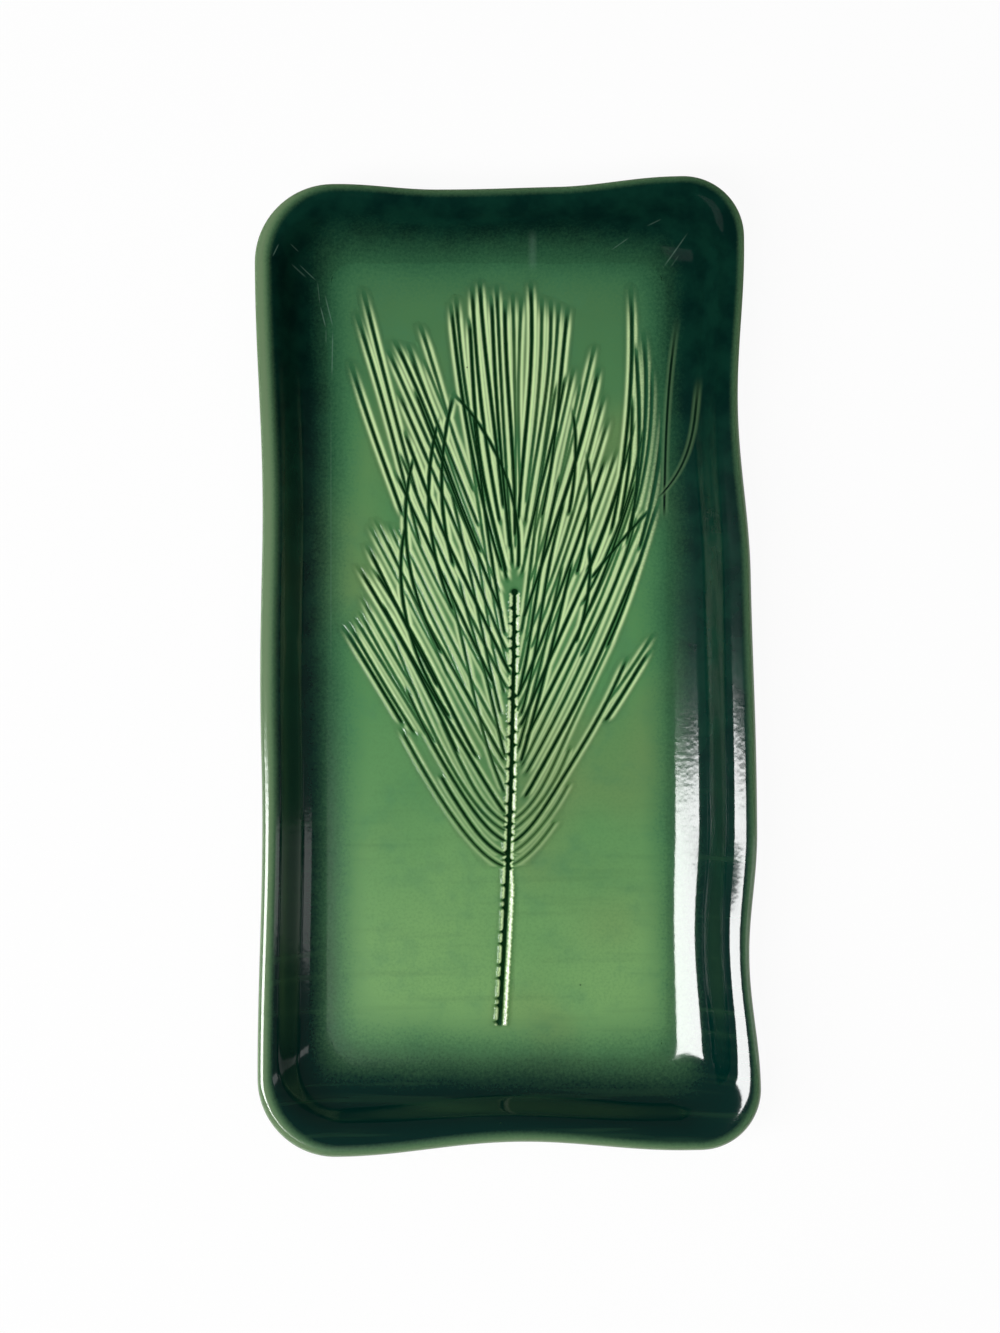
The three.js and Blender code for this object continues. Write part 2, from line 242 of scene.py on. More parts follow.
# How the surfaces lie on their maps, as shares of a map
maps = {
    "strips": 4,  # of a ring
    "hiddenShare": 0.08,  # of a strip's height, for the side that isn't shown
    "stripMargin": 0.01,
    "ringMargin": 0.005,
    "plateMargin": 0.02,
    "plateSize": 0.46,
    "plateRise": 0.04,
    "edgeStrip": 0.02,  # height of the strip for the edge of a plate or a tile
    "tileAcross": (0.01, 0.98),  # start and size
    "tileUp": (0.06, 0.93),
    "tileUnder": (0.03, 0.045),  # from and to
}


# A mesh in metres from points in millimetres and faces of three or four corners, with a normal and a
# map place for each corner
def newMesh(name, points, faceSets, cornerNormals, cornerPlaces, marks):
    mesh = bpy.data.meshes.new(name)
    mesh.vertices.add(len(points))
    mesh.vertices.foreach_set("co", (points * millimetre).astype(np.float32).ravel())
    corners = np.concatenate([faces.ravel() for faces in faceSets])
    sizes = np.concatenate([np.full(len(faces), faces.shape[1]) for faces in faceSets])
    mesh.loops.add(len(corners))
    mesh.loops.foreach_set("vertex_index", corners.astype(np.int32))
    mesh.polygons.add(len(sizes))
    mesh.polygons.foreach_set("loop_start", (np.cumsum(sizes) - sizes).astype(np.int32))
    mesh.update(calc_edges=True)
    mesh.shade_smooth()
    places = mesh.uv_layers.new(name="OFBake")
    places.uv.foreach_set("vector", cornerPlaces.astype(np.float32).ravel())
    for layerName, values in marks.items():
        layer = mesh.attributes.new(layerName, "FLOAT", "POINT")
        layer.data.foreach_set("value", values.astype(np.float32).ravel())
    mesh.normals_split_custom_set(cornerNormals.reshape(-1, 3))
    return mesh


# One finished piece of the tray, riding on its only body
def newPiece(mesh, material, slot, *nodes):
    piece = bpy.data.objects.new(mesh.name, mesh)
    bpy.context.scene.collection.objects.link(piece)
    mesh.materials.append(material)
    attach(piece, "root")
    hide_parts(*nodes)
    print(mesh.name, "faces:", len(mesh.polygons))


# Flat normals of quads, from their diagonals
def faceNormals(points, faces):
    across = points[faces[:, 2]] - points[faces[:, 0]]
    normals = np.cross(across, points[faces[:, -1]] - points[faces[:, 1]])
    length = np.linalg.norm(normals, axis=1, keepdims=True)
    return normals / np.maximum(length, 1e-12)


# A closed ring: a loop of rows, each going round the tray, whose first rows carry the smooth normals of
# the shown surface; its map lies in four strips, so that it isn't drawn out
def ringMesh(name, loop, shown, marks):
    rows, columns = loop.shape[:2]
    points = loop.reshape(-1, 3)
    row, column = np.meshgrid(np.arange(rows), np.arange(columns), indexing="ij")
    nextRow = (row + 1) % rows
    nextColumn = (column + 1) % columns
    here = row * columns
    beyond = nextRow * columns
    cells = [here + column, beyond + column, beyond + nextColumn, here + nextColumn]
    faces = np.stack(cells, -1).reshape(-1, 4)
    normals = np.repeat(faceNormals(points, faces)[:, None], 4, axis=1)
    cut = (len(shown) - 1) * columns
    normals[:cut] = shown.reshape(-1, 3)[faces[:cut]]
    steps = np.linalg.norm(np.diff(loop, axis=0, append=loop[:1]), axis=-1).mean(1)
    hidden = maps["hiddenShare"] * steps[:len(shown) - 1].sum()
    steps[len(shown) - 1:] = hidden / (rows - len(shown) + 1)
    rise = np.concatenate([[0], np.cumsum(steps)]) / steps.sum()
    strips = maps["strips"]
    margin = maps["stripMargin"]
    strip = column * strips // columns
    across = (column % (columns // strips)) / (columns // strips)
    wide = across + strips / columns
    low = (strip + margin + (1 - 2 * margin) * rise[row]) / strips
    high = (strip + margin + (1 - 2 * margin) * rise[row + 1]) / strips
    places = np.stack([across, low, across, high, wide, high, wide, low], -1).reshape(-1, 4, 2)
    places[..., 0] = maps["ringMargin"] + (1 - 2 * maps["ringMargin"]) * places[..., 0]
    return newMesh(name, points, [faces], normals, places, marks)


# Plate between two levels inside an outline: its two flat faces and the quads of its edge
def plateMesh(name, outline, low, high):
    count = len(outline)
    lower = np.column_stack([outline, np.full(count, low)])
    points = np.concatenate([lower, lower + (0, 0, high - low)])
    index = np.arange(count)
    after = (index + 1) % count
    edge = np.column_stack([index, after, after + count, index + count])
    flats = np.stack([index[::-1], index + count])
    up = np.tile((0.0, 0.0, 1.0), (count, 1))
    normals = np.concatenate([np.repeat(faceNormals(points, edge), 4, axis=0), -up, up])
    plan = (outline - outline.min(0)) / np.ptp(outline, axis=0).max()
    plan = maps["plateMargin"] + maps["plateSize"] * plan
    along = index / count
    further = along + 1 / count
    ground = np.zeros(count)
    top = ground + maps["edgeStrip"]
    edgePlaces = np.stack([along, ground, further, ground, further, top, along, top], -1)
    under = plan[::-1] + (0, maps["plateRise"])
    over = plan + (0.5, maps["plateRise"])
    places = np.concatenate([edgePlaces.reshape(-1, 2), under, over])
    return newMesh(name, points, [edge, flats], normals, places, {})


# The pressed sprig: tufts of needles grown from a stem, in millimetres and degrees
sprig = {
    "stemLength": 166.0,
    "stemFootInset": 12.0,
    "stemFootX": -3.2,
    "stemTipX": 2.6,
    "stemBow": 1.2,
    "bareStem": 59.5,
    "flareReach": 11.0,
    "needleWander": 3.2,
    "needleScatter": 0.5,
    "bowPower": 1.5,
    "needleSteps": 48,
    "faintestNeedle": 0.5,
    "fullBow": 60.0,  # a needle with this bow lies on top and prints in full
    # side, needles, root along the leafy stem, lean, length, flare, bow, share left unprinted at the root
    "tufts": [
        (1, 8, (1.0, 0.93), (-3, 16), (112, 124), 0, (0, -13), (0.06, 0.34)),
        (-1, 7, (1.0, 0.93), (3, 18), (110, 126), 0, (-1, -14), (0.06, 0.34)),
        (-1, 12, (0.92, 0.14), (19, 31), (96, 116), 8, (2, -2), (0.0, 0.2)),
        (-1, 6, (0.8, 0.18), (8, 15), (78, 122), 10, (-3, 2), (0.02, 0.14)),
        (-1, 4, (0.3, 0.05), (22, 26), (112, 128), 6, (2, 4), (0.3, 0.5)),
        (1, 11, (0.92, 0.14), (17, 28), (100, 124), 8, (-5, -5), (0.0, 0.2)),
        (1, 6, (0.82, 0.2), (7, 14), (78, 122), 8, (0, 2), (0.02, 0.14)),
        (1, 5, (0.6, 0.2), (29, 33), (112, 134), 0, (-19, -17), (0.4, 0.52)),
        (-1, 3, (0.3, 0.05), (16.5, 18.5), (190, 206), 8, (-3, -2), (0.52, 0.68)),
        (1, 3, (0.4, 0.2), (30.5, 34), (150, 178), -4, (-36, -31), (0.56, 0.66)),
        (1, 3, (0.3, 0.06), (25, 30), (194, 212), 0, (-30, -38), (0.46, 0.62)),
        (-1, 5, (0.1, 0.0), (31, 36), (102, 114), 12, (-5, -5), (0.44, 0.62)),
        (-1, 5, (0.19, 0.0), (26, 34), (30, 96), 40, (-6, -6), (0, 0)),
        (1, 5, (0.19, 0.0), (24, 32), (24, 96), 40, (-2, -2), (0, 0)),
        (1, 2, (0.16, 0.06), (37, 39), (86, 96), -4, (-2, -8), (0.6, 0.66)),
        (-1, 4, (0.7, 0.2), (28, 46), (114, 132), -8, (-46, -60), (0.3, 0.44)),
        (1, 3, (0.8, 0.4), (30, 42), (84, 108), -8, (-44, -50), (0.46, 0.58)),
        (-1, 1, (0.96, 0.96), (-5, -5), (88, 88), 0, (54, 54), (0.14, 0.14)),
        (1, 1, (0.5, 0.5), (23, 23), (104, 104), 0, (23, 23), (0.62, 0.62)),
        (-1, 5, (0.98, 0.84), (17, 25), (102, 120), 0, (2, 0), (0.22, 0.4)),
        (1, 4, (0.97, 0.82), (13, 20), (92, 108), 0, (-4, -5), (0.22, 0.4)),
    ],
}
stemFootY = floorBottom + sprig["stemFootInset"]
scatterWave = {"needle": 12.9898, "use": 78.233, "height": 43758.5453}


# A number from 0 to 1 for each needle and use, with no order to it: what a high sine has after the point
def scatter(needles, use):
    wave = np.sin(needles * scatterWave["needle"] + use * scatterWave["use"]) * scatterWave["height"]
    return wave - np.floor(wave)


# The stem's middle line: a straight run from foot to tip with a half sine of bow
def stemLine(along):
    across = sprig["stemFootX"] + (sprig["stemTipX"] - sprig["stemFootX"]) * along
    return across + sprig["stemBow"] * np.sin(np.pi * along), stemFootY + sprig["stemLength"] * along


# A value at a share of the way between the two of each pair
def between(pair, where):
    return pair[:, 0] + (pair[:, 1] - pair[:, 0]) * where


# Middle lines of the needles: each starts on the stem and steps along a heading, which is its lean plus a
# flare that dies away from the root, a bow that grows to the tip and a slow wander; its strength is a
# scattered pressure plus a share for its bow
def growNeedles():
    counts = [tuft[1] for tuft in sprig["tufts"]]
    order = np.concatenate([np.arange(count) for count in counts])
    number = np.arange(1, len(order) + 1)
    rank = order + 0.5 + sprig["needleScatter"] * (scatter(number, 1) - 0.5)
    rank = rank / np.repeat(counts, counts)
    each = [np.repeat(np.array(column, float), counts, axis=0) for column in zip(*sprig["tufts"])]
    side, _, root, lean, length, flare, bow, bare = each
    leafless = sprig["bareStem"] / sprig["stemLength"]
    rootX, rootY = stemLine(leafless + (1 - leafless) * between(root, rank))
    length = between(length, scatter(number, 2))
    steps = sprig["needleSteps"]
    middle = ((np.arange(steps) + 0.5) / steps)[None]
    flared = flare[:, None] * np.exp(-middle * length[:, None] / sprig["flareReach"])
    heading = between(lean, rank)[:, None] + flared
    heading = heading + between(bow, rank)[:, None] * middle ** sprig["bowPower"]
    wander = sprig["needleWander"] * (2 * scatter(number, 4) - 1)
    waves = np.sin(2 * np.pi * (middle + scatter(number, 5)[:, None]))
    heading = heading + wander[:, None] * waves
    heading = np.radians(heading) * side[:, None]
    stride = length[:, None] / steps
    lineX = np.cumsum(np.column_stack([rootX, np.sin(heading) * stride]), axis=1)
    lineY = np.cumsum(np.column_stack([rootY, np.cos(heading) * stride]), axis=1)
    pressure = scatter(number, 6) + np.abs(bow).max(1) / sprig["fullBow"]
    strength = sprig["faintestNeedle"] + (1 - sprig["faintestNeedle"]) * np.minimum(pressure, 1)
    return lineX, lineY, between(bare, scatter(number, 3)), strength


# The part of the floor that carries the print, as a grid in four tiles
printPanel = {
    "marginAcross": 1.6,  # from the floor's edge
    "marginAlong": 5.5,
    "columns": 396,
    "rows": 936,
    "tiles": 4,
    "grooveDepth": 0.52,
    "ridgeHeight": 0.11,
    "grooveWidth": (0.38, 0.64),  # half widths of the faintest and the strongest needle
    "ridgePlace": 0.6,  # from a groove's half width
    "ridgeWidth": 0.8,
    "farRidge": 0.85,  # strength of the ridge on the left of a needle; the fuller, paler ridge on its right is partly painted light on the side facing the lamp
    "grooveFade": (0.03, 0.07),  # at a needle's root and tip, as shares of its length
    "ridgeFade": (0.04, 0.1),
    "paleFoot": (-70.0, 35.0),  # between these the ridges go from faint to pale
    "faintest": 0.42,
    "steep": 0.15,  # a slope that has lost its shine
    "steepTone": 0.14,
    "printReach": 5.0,
    "edgeFadeAcross": 1.2,
    "edgeFadeAlong": 4.0,
}
panelLeft = floorLeft + printPanel["marginAcross"]
panelRight = floorRight - printPanel["marginAcross"]
panelTop = floorTop - printPanel["marginAlong"]
panelBottom = floorBottom + printPanel["marginAlong"]


# An S curve from 0 to 1: three times the square less twice the cube, held at both ends
def smoothStep(value):
    value = np.clip(value, 0, 1)
    return value * value * (3 - 2 * value)


# How full a needle's print is along it: it rises after the blank root and falls to the tip, as S curves
def endFade(where, blank, fades):
    rootFade, tipFade = printPanel[fades]
    full = smoothStep((where - blank) / rootFade) * smoothStep((1 - where) / tipFade)
    return full[:, None]


# Groove and ridge over the panel: across a needle the groove is a bell curve times its strength and the
# ridges two bell curves beside it times the root of it, both times a fade at root and tip; where needles
# meet, the stronger one stands
def printRelief(gridX, gridY):
    groove = np.zeros((len(gridY), len(gridX)))
    ridge = np.zeros_like(groove)
    lineX, lineY, bare, strengths = growNeedles()
    along = np.linspace(0, 1, sprig["needleSteps"] + 1)
    thin, thick = printPanel["grooveWidth"]
    reach = printPanel["printReach"]
    for x, y, blank, strength in zip(lineX, lineY, bare, strengths):
        rows = slice(*np.searchsorted(gridY, (y[0], y[-1])))
        middle = np.interp(gridY[rows], y, x)
        where = np.interp(gridY[rows], y, along)
        upright = np.interp(gridY[rows], y, 1 / np.hypot(1, np.gradient(x, y)))
        columns = slice(*np.searchsorted(gridX, (middle.min() - reach, middle.max() + reach)))
        off = (gridX[None, columns] - middle[:, None]) * upright[:, None]
        halfGroove = thin + (thick - thin) * strength
        bell = strength * endFade(where, blank, "grooveFade") * np.exp(-((off / halfGroove) ** 2))
        outside = (np.abs(off) - halfGroove - printPanel["ridgePlace"]) / printPanel["ridgeWidth"]
        # Fuller ridge on the right: in the tone it is partly painted light on the side that faces the lamp
        # on the left
        near = np.where(off > 0, 1.0, printPanel["farRidge"]) * np.sqrt(strength)
        beside = near * endFade(where, blank, "ridgeFade") * np.exp(-(outside ** 2))
        groove[rows, columns] = np.maximum(groove[rows, columns], bell)
        ridge[rows, columns] = np.maximum(ridge[rows, columns], beside)
    return groove, ridge


# The stem's print, in millimetres; pairs are for its left and right
stem = {
    "halfWidth": 0.86,
    "taper": 0.38,  # share lost from foot to tip
    "depth": 0.9,
    "end": 0.8,
    "leafStart": 8.0,  # length over which the bare stem turns leafy
    "bareRidge": (0.08, 0.45),  # height
    "bareRidgePlace": (1.4, 2.4),
    "bareRidgeWidth": (0.8, 0.75),
    "leafRidge": 0.2,
    "leafRidgePlace": 1.7,
    "leafRidgeWidth": 0.7,
    "ridgeWobble": 0.22,
    "wobbleWaves": (1.9, 4.3),  # slow and fast, in radians a millimetre
    "budSpacing": 6.2,
    "budJitter": 0.7,
    "budLength": 0.6,
    "budReach": (1.25, 0.0),
    "leafBudReach": 1.5,
    "knobRadius": 1.35,
    "shinePlace": 0.5,  # how far a ridge's shine lies towards the stem, in ridge widths
    "shineWidth": 0.75,
    "gloss": (1.6, 2.6),  # tone beyond 1 keeps its shine and is painted white as a glint
    "leastGloss": 0.6,  # share of it in the dullest gap between buds
    "bareGloss": 0.8,  # least share of it on the bare stem
}


# A measure of the stem, which goes from its leafy value to its bare one
def alongStem(leafy, bare, leafless):
    return leafy + (bare - leafy) * leafless


# The stem's groove is a flat-bottomed bell with a bell-shaped ridge on either side; small buds widen it on
# either side by turns, a round knob ends it, and a bell of shine lies on each ridge's slope, which gives
# specular and is also painted into the colour as pale and white glints, more on the right
def stemRelief(gridX, gridY):
    rise = gridY - stemFootY
    off = gridX[None] - stemLine(rise / sprig["stemLength"])[0][:, None]
    ends = smoothStep(rise / stem["end"]) * smoothStep((sprig["stemLength"] - rise) / stem["end"])
    leafless = smoothStep((sprig["bareStem"] - rise) / stem["leafStart"])
    taper = 1 - stem["taper"] * rise / sprig["stemLength"]
    slow, fast = stem["wobbleWaves"]
    wobble = stem["ridgeWobble"] * (np.sin(slow * rise) + np.sin(fast * rise + 1)) / 2
    groove = np.zeros_like(off)
    ridge = np.zeros_like(off)
    shine = np.zeros_like(off)
    for pick, side in enumerate((-1, 1)):
        turn = rise / stem["budSpacing"] + pick / 2
        near = turn - np.round(turn) + stem["budJitter"] * (scatter(np.round(turn), 7) - 0.5)
        near = near * stem["budSpacing"]
        bud = np.exp(-((near / stem["budLength"]) ** 2))
        reach = alongStem(stem["leafBudReach"], stem["budReach"][pick], leafless)
        half = stem["halfWidth"] * taper + reach * bud
        here = off * side >= 0
        bell = np.exp(-((off / half[:, None]) ** 4)) * ends[:, None]
        groove = np.where(here, bell, groove)
        place = alongStem(stem["leafRidgePlace"], stem["bareRidgePlace"][pick], leafless) + wobble
        width = alongStem(stem["leafRidgeWidth"], stem["bareRidgeWidth"][pick], leafless)
        tall = alongStem(stem["leafRidge"], stem["bareRidge"][pick], leafless)
        beside = (off * side - place[:, None]) / width[:, None]
        crown = np.exp(-(beside ** 2)) * ends[:, None]
        ridge = np.where(here, crown * tall[:, None], ridge)
        gloss = beside + stem["shinePlace"]
        patchy = stem["leastGloss"] + (1 - stem["leastGloss"]) * scatter(np.floor(turn), 9)
        patchy = stem["gloss"][pick] * np.maximum(patchy, stem["bareGloss"] * leafless)
        gloss = np.exp(-((gloss / stem["shineWidth"]) ** 2)) * (ends * patchy)[:, None]
        shine = np.where(here, gloss, shine)
    tip = np.hypot(off, (rise - sprig["stemLength"])[:, None]) / stem["knobRadius"]
    return np.maximum(groove, np.exp(-(tip ** 4))), ridge, shine


# The printed panel's points, normals and tone: ridges less grooves give the height, its slopes the normals,
# and the tone is paleness less darkness, with a little taken off on steep slopes that have no tone
def smoothPanel():
    gridX = np.linspace(panelLeft, panelRight, printPanel["columns"] + 1)
    gridY = np.linspace(panelBottom, panelTop, printPanel["rows"] + 1)
    groove, ridge = printRelief(gridX, gridY)
    stemGroove, stemRidge, stemShine = stemRelief(gridX, gridY)
    fadeX = smoothStep(np.minimum(gridX - panelLeft, panelRight - gridX) / printPanel["edgeFadeAcross"])
    fadeY = smoothStep(np.minimum(gridY - panelBottom, panelTop - gridY) / printPanel["edgeFadeAlong"])
    fade = fadeY[:, None] * fadeX[None]
    clear = (1 - groove) * (1 - stemGroove)
    raised = np.maximum(printPanel["ridgeHeight"] * ridge, stemRidge) * clear
    pressed = np.maximum(printPanel["grooveDepth"] * groove, stem["depth"] * stemGroove)
    height = (raised - pressed) * fade
    foot, leaf = printPanel["paleFoot"]
    faintest = printPanel["faintest"]
    pale = faintest + (1 - faintest) * smoothStep((gridY - foot) / (leaf - foot))
    # The stem's shine enters the tone here, which paints it as pale and white glints
    tone = (np.maximum(ridge * pale[:, None], stemShine) * clear - np.maximum(groove, stemGroove)) * fade
    slopeY, slopeX = np.gradient(height, gridY, gridX)
    dull = smoothStep(np.hypot(slopeX, slopeY) / printPanel["steep"])
    tone = tone - printPanel["steepTone"] * dull * (1 - smoothStep(np.abs(tone) / printPanel["steepTone"]))
    normals = np.stack([-slopeX, -slopeY, np.ones_like(height)], -1)
    normals /= np.linalg.norm(normals, axis=-1, keepdims=True)
    wide, tall = np.meshgrid(gridX, gridY)
    return np.stack([wide, tall, floorLevel + height], -1), normals, tone


# One tile of the print: its grid, four fans down its sides and a flat underneath
def tileMesh(name, grid, normals, tone):
    rows, columns = grid.shape[0] - 1, grid.shape[1] - 1
    index = np.arange(grid.shape[0] * grid.shape[1]).reshape(grid.shape[:2])
    quads = np.stack([index[:-1, :-1], index[:-1, 1:], index[1:, 1:], index[1:, :-1]], -1).reshape(-1, 4)
    cornersAt = np.array([grid[0, 0], grid[0, -1], grid[-1, -1], grid[-1, 0]])
    points = np.concatenate([grid.reshape(-1, 3), cornersAt * (1, 1, 0) + (0, 0, slabTop)])
    base = index.size
    sides = [index[0], index[:, -1], index[-1, ::-1], index[::-1, 0]]
    fans = []
    for number, edge in enumerate(sides):
        below, beyond = base + number, base + (number + 1) % 4
        fans.append(np.column_stack([np.full(len(edge) - 1, below), edge[1:], edge[:-1]]))
        fans.append(np.array([[below, beyond, edge[-1]]]))
    fans = np.concatenate(fans)
    under = np.array([[base + 3, base + 2, base + 1, base]])
    allQuads = np.concatenate([quads, under])
    smooth = normals.reshape(-1, 3)
    outward = np.cross(points[fans[:, 1]] - points[fans[:, 0]], points[fans[:, 2]] - points[fans[:, 0]])
    outward /= np.linalg.norm(outward, axis=1, keepdims=True)
    down = np.tile((0.0, 0.0, -1.0), (4, 1))
    cornerNormals = np.concatenate([smooth[quads].reshape(-1, 3), down, np.repeat(outward, 3, axis=0)])
    left, wide = maps["tileAcross"]
    bottom, tall = maps["tileUp"]
    across = left + wide * np.arange(columns + 1) / columns
    up = bottom + tall * np.arange(rows + 1) / rows
    place = np.stack(np.meshgrid(across, up), -1).reshape(-1, 2)
    along = np.arange(len(fans)) / len(fans)
    ground = np.zeros(len(fans))
    top = ground + maps["edgeStrip"]
    fanPlaces = np.stack([along, ground, along + 1 / len(fans), top, along, top], -1)
    low, high = maps["tileUnder"]
    underPlaces = [(0, low), (0, high), (1, high), (1, low)]
    places = np.concatenate([place[quads].reshape(-1, 2), underPlaces, fanPlaces.reshape(-1, 2)])
    marks = {
        "printTone": np.concatenate([tone.ravel(), np.zeros(4)]),
        "sprayReach": sprayReach(points[:, 0], points[:, 1]),
        "lipReach": np.full(len(points), spray["farthest"]),
    }
    return newMesh(name, points, [allQuads, fans], cornerNormals, places, marks)


# Finishes, with colours as they look, out of 255. A tint is a colour and the S curve by which it comes in:
# where it starts, where it ends, and the shares that it has there if they aren't none and all
glaze = {
    "roughness": 0.09,
    "cloudNoise": (16.0, 3.0, 0.5),  # lumps in a metre, detail, roughness
    "mottleNoise": (75.0, 3.0, 0.6),
    "grainNoise": (900.0, 2.0, 0.7),
    "oliveNoise": (13.0, 2.0, 0.5),
    "peel": (420.0, 0.00002),  # lumps in a metre, depth in metres
    "cloudLift": 0.12,  # how far the clouds move a change of colour along the tray, in metres
    "lowGreen": (114, 161, 98),
    "midGreen": ((77, 136, 81), (-0.14, -0.01)),  # along the tray in metres
    "highGreen": ((63, 113, 73), (0.03, 0.15)),
    "olive": ((112, 140, 84), (0.48, 0.72, 0.0, 0.7)),  # by noise
    "blueGreen": ((62, 120, 84), (0.45, 0.8, 0.0, 0.4)),
    "speckle": ((72, 118, 70), (0.4, 0.7, 0.0, 0.22)),
    "ridge": ((216, 246, 180), (-0.1, 0.95)),  # by the print's tone
    "paintedGlintWhite": ((226, 242, 210), (0.95, 1.5)),  # painted glint: white painted where the stem's shine lies on its sides
    "groove": ((12, 45, 20), (-0.02, -0.8)),
    "ragged": 0.9,  # how far grain and clouds move the edge of the spray, in fade widths
    "fadeGreen": ((48, 104, 72), (1.6, 0.1, 0.0, 0.65)),  # by the distance from the spray
    "dark": (12, 52, 41),
    "darkest": ((5, 36, 31), (0.3, 0.7)),  # by noise
    "lowDark": ((0, 36, 31), (0.02, -0.13)),  # along the tray
    "darkReach": (0.9, -1.0),
    "raggedLip": 0.6,  # share of the raggedness at the lip
    "lipPale": (116, 144, 106),
    "lipGreen": ((80, 118, 82), (-1.6, 0.0)),  # by the distance from the pale edge
    "lipReach": (1.0, -0.8),
    "shine": (0.02, 0.12, 0.5, 0.005),  # along the tray, duller at the upper end
    "pooledShine": (-0.12, -0.01),  # by the print's tone: none in the grooves
    "ridgeShine": (0.0, 0.06, 1.0, 0.1),  # little on the ridges
    "edgeShine": (1.05, 1.4),  # all of it on the sides of the stem
}
outsideGlaze = {
    "roughness": 0.12,
    "noise": (45.0, 4.0, 0.6),
    "peel": (420.0, 0.00006),
    "pale": (100, 133, 92),
    "deep": ((70, 104, 72), (0.3, 0.75)),
}
clay = {
    "roughness": 0.85,
    "noise": (500.0, 4.0, 0.7),
    "peel": (900.0, 0.0003),
    "pale": (190, 156, 122),
    "deep": ((158, 120, 88), (0.35, 0.7)),
}


# A colour out of 255 as linear light
def linear(colour):
    value = np.array(colour, float) / 255
    value = np.where(value <= 0.04045, value / 12.92, ((value + 0.055) / 1.055) ** 2.4)
    return (*value.tolist(), 1.0)


# A new material's node tree, its shader, and its object coordinates
def startMaterial(name, roughness):
    material = bpy.data.materials.new(name)
    material.use_nodes = True
    tree = material.node_tree
    shader = tree.nodes["Principled BSDF"]
    shader.inputs["Roughness"].default_value = roughness
    place = tree.nodes.new("ShaderNodeTexCoord").outputs["Object"]
    return material, tree, shader, place


# A socket's value, set where it is a constant and linked where it comes from a node
def setOrLink(tree, socket, value):
    if isinstance(value, bpy.types.NodeSocket):
        tree.links.new(value, socket)
    else:
        socket.default_value = value


# Noise of a given number of lumps in a metre
def noise(tree, place, scale, detail, roughness=0.5):
    node = tree.nodes.new("ShaderNodeTexNoise")
    tree.links.new(place, node.inputs["Vector"])
    node.inputs["Scale"].default_value = scale
    node.inputs["Detail"].default_value = detail
    node.inputs["Roughness"].default_value = roughness
    return node.outputs["Fac"]


# One sum with two values
def maths(tree, operation, first, second=0.0):
    node = tree.nodes.new("ShaderNodeMath")
    node.operation = operation
    setOrLink(tree, node.inputs[0], first)
    setOrLink(tree, node.inputs[1], second)
    return node.outputs[0]


# A value taken from one range to another along an S curve, held at both ends
def ease(tree, value, low, high, start=0.0, end=1.0):
    node = tree.nodes.new("ShaderNodeMapRange")
    node.interpolation_type = "SMOOTHSTEP"
    setOrLink(tree, node.inputs["Value"], value)
    node.inputs["From Min"].default_value = low
    node.inputs["From Max"].default_value = high
    node.inputs["To Min"].default_value = start
    node.inputs["To Max"].default_value = end
    return node.outputs["Result"]


# A colour between two others: the first times what the amount leaves, plus the second times the amount
def blend(tree, amount, first, second):
    node = tree.nodes.new("ShaderNodeMix")
    node.data_type = "RGBA"
    setOrLink(tree, node.inputs["Factor"], amount)
    setOrLink(tree, node.inputs[6], first)
    setOrLink(tree, node.inputs[7], second)
    return node.outputs[2]


# A colour with a tint over it, by a share that follows a value along the tint's S curve
def tinted(tree, colour, value, tint):
    over, curve = tint
    return blend(tree, ease(tree, value, *curve), colour, linear(over))


# A value that the mesh carries at its points
def mark(tree, name):
    node = tree.nodes.new("ShaderNodeAttribute")
    node.attribute_name = name
    return node.outputs["Fac"]


# A coordinate in millimetres
def millimetres(tree, coordinate):
    return maths(tree, "MULTIPLY", coordinate, 1 / millimetre)


# Bump of fine lumps that breaks up the edges of reflections
def orangePeel(tree, shader, place, scale, distance):
    node = tree.nodes.new("ShaderNodeBump")
    node.inputs["Strength"].default_value = 1.0
    node.inputs["Distance"].default_value = distance
    tree.links.new(noise(tree, place, scale, 1.0), node.inputs["Height"])
    tree.links.new(node.outputs["Normal"], shader.inputs["Normal"])


# The outer needles on the right, which run up on to the foot of the wall: places across the tray, in
# millimetres, as cubics of the share of the way between two places along it
wallNeedles = {
    "curves": [(59.7, 55.3, 136.0, (1.2, 0.0, 4.4)), (56.5, 63.5, 111.0, (49.0, -56.0, 23.4))],
    "grooveHalf": 0.75,
    "edgeHalf": 2.0,
    "groove": (4, 30, 19),
    "edge": (104, 142, 98),
    "edgeShare": 0.4,
    "coreHalf": 0.2,
    "ends": (0.08, 0.75),  # shares of the way where a needle is first and last in full
}


# Colour with those needles: the distance from each cubic gives a dark line and a pale edge on either side
def wallNeedleColour(tree, split, colour):
    across = millimetres(tree, split.outputs["X"])
    along = millimetres(tree, split.outputs["Y"])
    full, last = wallNeedles["ends"]
    grooveHalf = wallNeedles["grooveHalf"]
    for base, start, end, (first, second, third) in wallNeedles["curves"]:
        share = maths(tree, "DIVIDE", maths(tree, "SUBTRACT", along, start), end - start)
        line = maths(tree, "ADD", maths(tree, "MULTIPLY", share, third), second)
        line = maths(tree, "ADD", maths(tree, "MULTIPLY", share, line), first)
        line = maths(tree, "ADD", maths(tree, "MULTIPLY", share, line), base)
        off = maths(tree, "ABSOLUTE", maths(tree, "SUBTRACT", across, line))
        ends = maths(tree, "MULTIPLY", ease(tree, share, 0.0, full), ease(tree, share, 1.0, last))
        edge = ease(tree, off, wallNeedles["edgeHalf"], grooveHalf, 0.0, wallNeedles["edgeShare"])
        edge = maths(tree, "MULTIPLY", edge, ends)
        groove = ease(tree, off, grooveHalf, wallNeedles["coreHalf"])
        groove = maths(tree, "MULTIPLY", groove, ends)
        colour = blend(tree, edge, colour, linear(wallNeedles["edge"]))
        colour = blend(tree, groove, colour, linear(wallNeedles["groove"]))
    return colour
